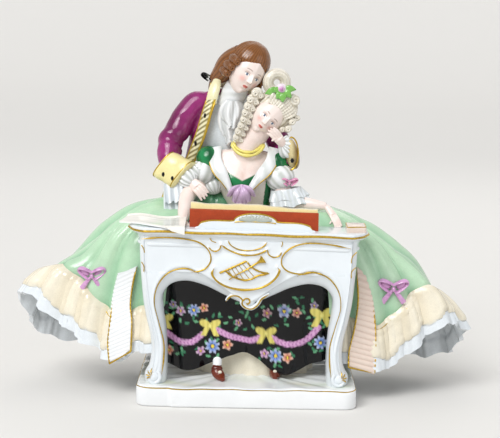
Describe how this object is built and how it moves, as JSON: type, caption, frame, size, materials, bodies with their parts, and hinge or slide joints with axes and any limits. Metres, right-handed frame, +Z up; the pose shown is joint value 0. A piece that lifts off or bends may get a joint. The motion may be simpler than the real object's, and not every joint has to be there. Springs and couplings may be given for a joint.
{
  "type": "porcelain figural group",
  "caption": "Glazed porcelain group of a lady in a wide court dress seated at a spinet and a gentleman leaning over her, on a low rectangular plinth.",
  "frame": {"origin": "middle of the plinth's underside", "axes": "+X to the viewer's right along the spinet, -Y out of the front towards the viewer, +Z up"},
  "size_m": [0.304, 0.104, 0.2291],
  "materials": {
    "glazed_porcelain": "glossy clear glaze over white porcelain, painted over the glaze in enamels and burnished gold"
  },
  "bodies": {
    "root": {"porcelain_group": "glazed_porcelain"}
  },
  "joints": []
}
